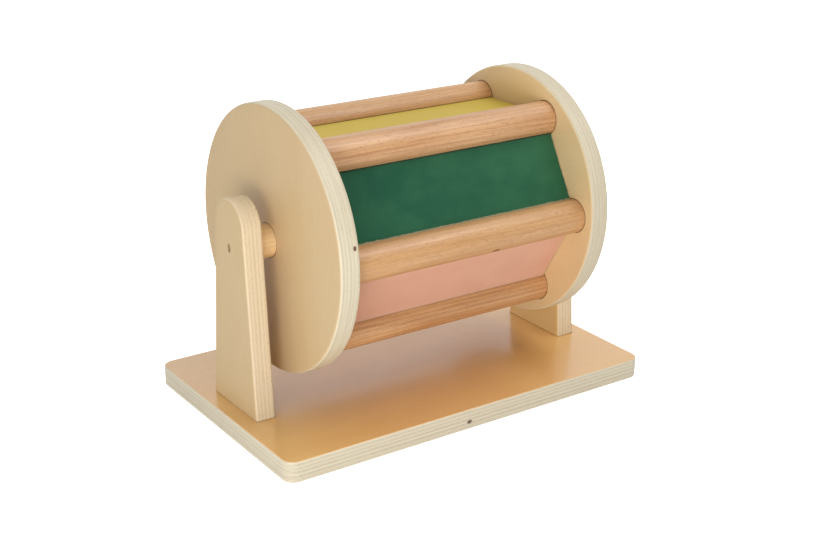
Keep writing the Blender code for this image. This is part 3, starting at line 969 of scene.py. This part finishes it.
def rod_section():
    """The section in (Y, Z) with outwards along +Z."""
    lip = math.asin(GROOVE_HALF_WIDTH / ROD_RADIUS)
    section = []
    for start, end in ((-GROOVE_ANGLE + lip, GROOVE_ANGLE - lip),
                       (GROOVE_ANGLE + lip, math.tau - GROOVE_ANGLE - lip)):
        for step in range(ROD_ARC_STEPS + 1):
            angle = start + (end - start) * step / ROD_ARC_STEPS
            section.append((ROD_RADIUS * math.sin(angle), ROD_RADIUS * math.cos(angle)))
        groove = GROOVE_ANGLE if end < math.pi else -GROOVE_ANGLE
        inwards = Vector((math.sin(groove), math.cos(groove)))
        beside = Vector((inwards.y, -inwards.x))
        for side in (-1, 1):
            section.append(tuple(inwards * GROOVE_FLOOR + beside * side * GROOVE_HALF_WIDTH))
    return section


def rod_solid(angle):
    section = rod_section()
    shrink = 1 - ROD_CHAMFER / ROD_RADIUS
    stations = [(-ROD_HALF_LENGTH, shrink), (-ROD_HALF_LENGTH + ROD_CHAMFER, 1.0),
                (ROD_HALF_LENGTH - ROD_CHAMFER, 1.0), (ROD_HALF_LENGTH, shrink)]
    bm = bmesh.new()
    rings = [[bm.verts.new((x, y * scale, z * scale)) for y, z in section] for x, scale in stations]
    for first, second in zip(rings, rings[1:]):
        band(bm, first, second)
    bm.faces.new(rings[0])
    bm.faces.new(rings[-1][::-1])
    return moved(bm, Matrix.Rotation(angle, 4, "X"))


ROD_KNOT = {3: (0.0205, -0.0078, -0.0091)}
LIVELY_RODS = {
    # rods cut from livelier stock: (pale, warm)
    1: (rgb(226, 178, 124), rgb(196, 142, 88)),
    2: (rgb(224, 176, 128), rgb(184, 128, 80)),
    4: (rgb(222, 172, 120), rgb(178, 118, 66)),
}
for number in range(1, len(PANEL_NAMES) + 1):
    angle = (number - 1.5) * STEP_ANGLE
    tones = {"Knot Place": ROD_KNOT.get(number, NO_KNOT), "Knot Size": 0.0026}
    if number in LIVELY_RODS:
        tones["Pale"], tones["Warm"] = LIVELY_RODS[number]
    finish = beech(f"rod_{number}_beech_oiled", 2.3 * number, tones)
    middle = Matrix.Rotation(angle, 3, "X") @ Vector((0.0, 0.0, ROD_CIRCLE))
    rod = finish_piece(f"rod_{number}_beech", rod_solid(angle), middle + Vector((0.0, 0.0, AXLE_HEIGHT)),
                       finish, "drum", f"rod_{number}")
print("rods:", len(PANEL_NAMES), "with", len(rod.data.polygons), "faces each")

# %% [markdown]
# ## The axle
# The axle is a length of beech, a millimetre thinner than the rods. It goes through both discs
# and is glued in them. Only a short stub shows at each end, between disc and upright. Its tones are
# much paler than the rods', as painted light on these stubs.

# %% Make the axle
axle_end = axle_high.x
axle_profile = [(0.0, -axle_end), (AXLE_RADIUS - ROD_CHAMFER, -axle_end),
                (AXLE_RADIUS, -axle_end + ROD_CHAMFER), (AXLE_RADIUS, axle_end - ROD_CHAMFER),
                (AXLE_RADIUS - ROD_CHAMFER, axle_end), (0.0, axle_end)]
# Painted light: tones much paler than the rods', standing in for light on the axle's stubs.
axle_tones_painted_light = {"Pale": rgb(248, 214, 161), "Warm": rgb(238, 196, 140), "Fleck": rgb(206, 160, 108)}
axle_solid = moved(turned(axle_profile, ROUND_STEPS), Matrix.Rotation(math.pi / 2, 4, "Y"))
axle = finish_piece("axle_beech", axle_solid, (0.0, 0.0, AXLE_HEIGHT),
                    beech("axle_beech_oiled", 31.0, axle_tones_painted_light), "drum", "axle")
print("axle:", len(axle.data.polygons), "faces")

# %% [markdown]
# ## The coloured panels
# A panel is a thin board with softened edges that slides into the grooves of two rods. The three
# that show are yellow, green and pink. The other three take muted tones of the same family.

# %% Make the panels
PANEL_PAINTS = {
    # name: (paint, thicker paint)
    "yellow": (rgb(205, 178, 78), rgb(212, 188, 92)),
    "green": (rgb(52, 107, 74), rgb(29, 84, 60)),
    "pink": (rgb(230, 181, 155), rgb(220, 167, 141)),
    "orange": (rgb(214, 128, 66), rgb(204, 116, 54)),
    "blue": (rgb(74, 112, 150), rgb(64, 102, 140)),
    "lilac": (rgb(150, 124, 168), rgb(140, 112, 158)),
}


def panel_solid(angle):
    outline = rectangle(PANEL_SIZE.x / 2, PANEL_SIZE.y / 2)
    board = round_rims(plate(outline, PANEL_SIZE.z), PANEL_EDGE_RADIUS)
    return moved(board, Matrix.Rotation(angle, 4, "X"))


for number, name in enumerate(PANEL_NAMES):
    angle = number * STEP_ANGLE
    turn = Matrix.Rotation(angle, 3, "X")
    middle = turn @ Vector((0.0, 0.0, PANEL_CIRCLE)) + Vector((0.0, 0.0, AXLE_HEIGHT))
    finish = painted(f"{name}_paint_rolled", turn, 3.7 * number, *PANEL_PAINTS[name])
    finish_piece(f"{name}_panel_painted", panel_solid(angle), middle, finish, "drum",
                 f"{name}_panel")
print("panels:", ", ".join(PANEL_NAMES))

# %% [markdown]
# ## Glue in the joints
# An upright stands on a film of wood glue. Some of it is pressed out and dries as a thin, uneven,
# dark line around the foot. It is made as a flat slab with a wandering outline, about as large as
# the foot, so it fills the joint and shows as a hairline. The same glue fills the chamfered mouths of
# the sockets and of the axle's bores with thin rings, which show where wood enters wood.

# %% Make the glue lines
GLUE_STEPS = 160
GLUE_WAVES = 9
GLUE_WANDER = 0.00022
GLUE_INSET = 0.0003               # how far the film stays behind the foot's sides
GLUE_FILL = 0.9                   # how much of the joint's height the film takes
RING_AIR = 0.00003


def glue_finish():
    material, shader, w = start_material("dried_wood_glue", 0.3, 0.2)
    place, _ = own_directions(w)
    lumps = w.noise(place, (420.0, 420.0, 420.0))
    colour = w.mix(lumps, rgb(96, 58, 26), rgb(138, 90, 46))
    wire_shader(w, shader, colour, w.spread(lumps, 0.3, 0.7, 0.30, 0.48), lumps, 0.4, 0.0002)
    return material


def glue_slab(half_x, half_y, height, seed):
    """A thin slab with a rounded rectangle outline that wanders in and out."""
    chance = random.Random(seed)
    waves = [(chance.randint(3, 40), chance.uniform(0.0, math.tau), chance.uniform(0.3, 1.0))
             for _ in range(GLUE_WAVES)]
    outline = []
    for step in range(GLUE_STEPS):
        angle = math.tau * step / GLUE_STEPS
        across, along = math.cos(angle), math.sin(angle)
        reach = 1 / max(abs(across), abs(along))
        wander = sum(size * math.sin(count * angle + start) for count, start, size in waves) / 4
        outline.append(((half_x + GLUE_WANDER * wander) * across * reach,
                        (half_y + GLUE_WANDER * wander) * along * reach))
    return plate(outline, height)


def glue_ring(bm, centre, radius, face):
    """A ring in the chamfered mouth of a hole, around the round piece that is glued into it."""
    deep = -GLUE_GAP - BORE_MOUTH
    hole = radius + GLUE_GAP
    profile = [(radius + RING_AIR, deep), (hole - RING_AIR, deep),
               (hole + BORE_MOUTH - 2 * RING_AIR, -RING_AIR), (radius + RING_AIR, -RING_AIR)]
    ring = turned(profile, ROUND_STEPS, closed=True)
    flip = Matrix.Rotation(0.0 if face > 0 else math.pi, 4, "X")
    ring.transform(Matrix.Translation((centre[0], centre[1], face)) @ flip)
    mesh = bpy.data.meshes.new("one_ring")
    ring.to_mesh(mesh)
    ring.free()
    bm.from_mesh(mesh)
    bpy.data.meshes.remove(mesh)


glue = glue_finish()
joint_height = upright_low.z - base_high.z
for side_name, side in SIDES.items():
    slab = glue_slab(BOARD / 2 - GLUE_INSET, upright_high.y - GLUE_INSET, joint_height * GLUE_FILL,
                     40 + side)
    finish_piece(f"{side_name}_foot_glue", slab,
                 (side * UPRIGHT_X, 0.0, base_high.z + joint_height / 2), glue, "stand")
    rings = bmesh.new()
    glue_ring(rings, (0.0, 0.0), AXLE_RADIUS, BOARD / 2)
    for centre in socket_centres(side):
        glue_ring(rings, centre, ROD_RADIUS, -BOARD / 2)
    finish_piece(f"{side_name}_disc_glue", moved(rings, standing(side)),
                 (side * DISC_X, 0.0, AXLE_HEIGHT), glue, "drum")
print(f"glue lines {joint_height * 1000:.2f} mm high")

# %% [markdown]
# ## The filled holes
# Behind each axle end, wood filler closes the small hole in the upright's outer face. It was pressed
# in with a knife along the grain, so the patch is a small upright oval with an uneven rim, crumbly and
# speckled. It is a disc of rings with a wandering radius, with a plug behind it.

# %% Make the filler patches
PATCH_STEPS = 40
PATCH_WOBBLES = 8
PATCH_UNEVEN = 0.10
PATCH_HALF_WIDTH = 0.0020
PATCH_HALF_HEIGHT = 0.0032
PATCH_STANDS_OUT = 0.00006
PATCH_AIR = 0.00001               # between the upright's face and the patch
PLUG_AIR = 0.0001                 # between the hole and the plug
PLUG_FROM_BORE = 0.0004           # the plug ends before it reaches the axle's bore
PATCH_RINGS = ((1.0, 0.0), (0.93, 1.0), (0.70, 0.9), (0.42, 0.2), (0.20, 0.5))   # radius, height


def filler_finish():
    material, shader, w = start_material("dried_wood_filler")
    place, _ = own_directions(w)
    crumbs = w.noise(place, (1100.0, 1100.0, 700.0), 3.0, 0.7)
    colour = w.mix(w.spread(crumbs, 0.38, 0.60), rgb(92, 64, 38), rgb(190, 158, 116))
    wire_shader(w, shader, colour, w.spread(crumbs, 0.3, 0.7, 0.85, 0.6), crumbs, 0.7, 0.0003)
    return material


def filler_solid(side, seed):
    """Rings from the patch's rim to its middle at +Z, closed behind by a plug in the hole."""
    chance = random.Random(seed)
    wobble = [1 + chance.uniform(-PATCH_UNEVEN, PATCH_UNEVEN) for _ in range(PATCH_WOBBLES)]
    bm = bmesh.new()
    face = BOARD / 2

    def ring(scale, height, round_radius=None):
        verts = []
        for step in range(PATCH_STEPS):
            angle = math.tau * step / PATCH_STEPS
            place = step * PATCH_WOBBLES / PATCH_STEPS
            low = wobble[int(place)]
            high = wobble[(int(place) + 1) % PATCH_WOBBLES]
            uneven = low + (high - low) * (place % 1)
            x = (round_radius or PATCH_HALF_WIDTH * scale * uneven) * math.cos(angle)
            y = (round_radius or PATCH_HALF_HEIGHT * scale * uneven) * math.sin(angle)
            verts.append(bm.verts.new((x, y, height)))
        return verts

    plug = PATCH_HOLE_RADIUS - PLUG_AIR
    plug_end = BORE_DEPTH - face + PLUG_FROM_BORE
    rings = [ring(1.0, plug_end, plug), ring(1.0, face + PATCH_AIR, plug)]
    rings += [ring(scale, face + PATCH_AIR + PATCH_STANDS_OUT * height) for scale, height in PATCH_RINGS]
    for first, second in zip(rings, rings[1:]):
        band(bm, first, second)
    bm.faces.new(rings[0])
    bm.faces.new(rings[-1])
    return moved(bm, standing(side))


filler = filler_finish()
for side_name, side in SIDES.items():
    finish_piece(f"{side_name}_filler_patch", filler_solid(side, 7 + side),
                 (side * UPRIGHT_X, 0.0, AXLE_HEIGHT), filler, "stand",
                 f"{side_name}_filler")
print("filler patches:", ", ".join(SIDES))

# %% [markdown]
# ## The screws
# Four countersunk wood screws hold the uprights from below. Only their heads can be seen, from
# underneath. The head is turned and its cross recess is cut with two crossed boxes. The thread is a
# row of rings, which nobody can tell from a real thread inside the wood.

# %% Make the screws
THREAD_PITCH = 0.0018
THREAD_DEPTH = 0.0005
THREAD_FLANKS = (0.35, 0.75)          # where the groove starts and ends, in pitches
PLAIN_SHANK = 0.4                     # share of the screw's length without thread
POINT_PITCHES = 2.5
HEAD_CHAMFER = 0.0001
RECESS = (0.0042, 0.0009, 0.0016)     # length, width, depth


def steel_finish():
    material, shader, w = start_material("zinc_plated_steel")
    place, _ = own_directions(w)
    brushed = w.noise(place, (300.0, 300.0, 2500.0), 3.0, 0.6)
    shader.inputs["Metallic"].default_value = 1.0
    colour = w.mix(brushed, rgb(176, 172, 162), rgb(208, 204, 192))
    wire_shader(w, shader, colour, w.spread(brushed, 0.3, 0.7, 0.29, 0.42), brushed, 0.2, 0.0001)
    return material


def screw_solid(length):
    height = length * PLAIN_SHANK
    core = SCREW_RADIUS - THREAD_DEPTH
    profile = [(0.0, 0.0), (HEAD_RADIUS - HEAD_CHAMFER, 0.0), (HEAD_RADIUS, HEAD_CHAMFER),
               (HEAD_RADIUS, HEAD_RIM), (SCREW_RADIUS, HEAD_RIM + HEAD_RADIUS - SCREW_RADIUS),
               (SCREW_RADIUS, height)]
    while height < length - POINT_PITCHES * THREAD_PITCH:
        profile += [(core, height + share * THREAD_PITCH) for share in THREAD_FLANKS]
        height += THREAD_PITCH
        profile.append((SCREW_RADIUS, height))
    profile.append((0.0, length))
    half_length, half_width, reach = RECESS[0] / 2, RECESS[1] / 2, RECESS[2]
    slots = [plate(rectangle(half_length, half_width), 2 * reach),
             plate(rectangle(half_width, half_length), 2 * reach)]
    return carved(turned(profile, HOLE_STEPS), slots)


steel = steel_finish()
for name, (low, high) in SCREWS.items():
    place = ((low.x + high.x) / 2, (low.y + high.y) / 2, low.z)
    screw = finish_piece(f"{name}_steel", screw_solid(high.z - low.z), place, steel, "stand",
                         name)
print("screws:", len(SCREWS), "with", len(screw.data.polygons), "faces each")
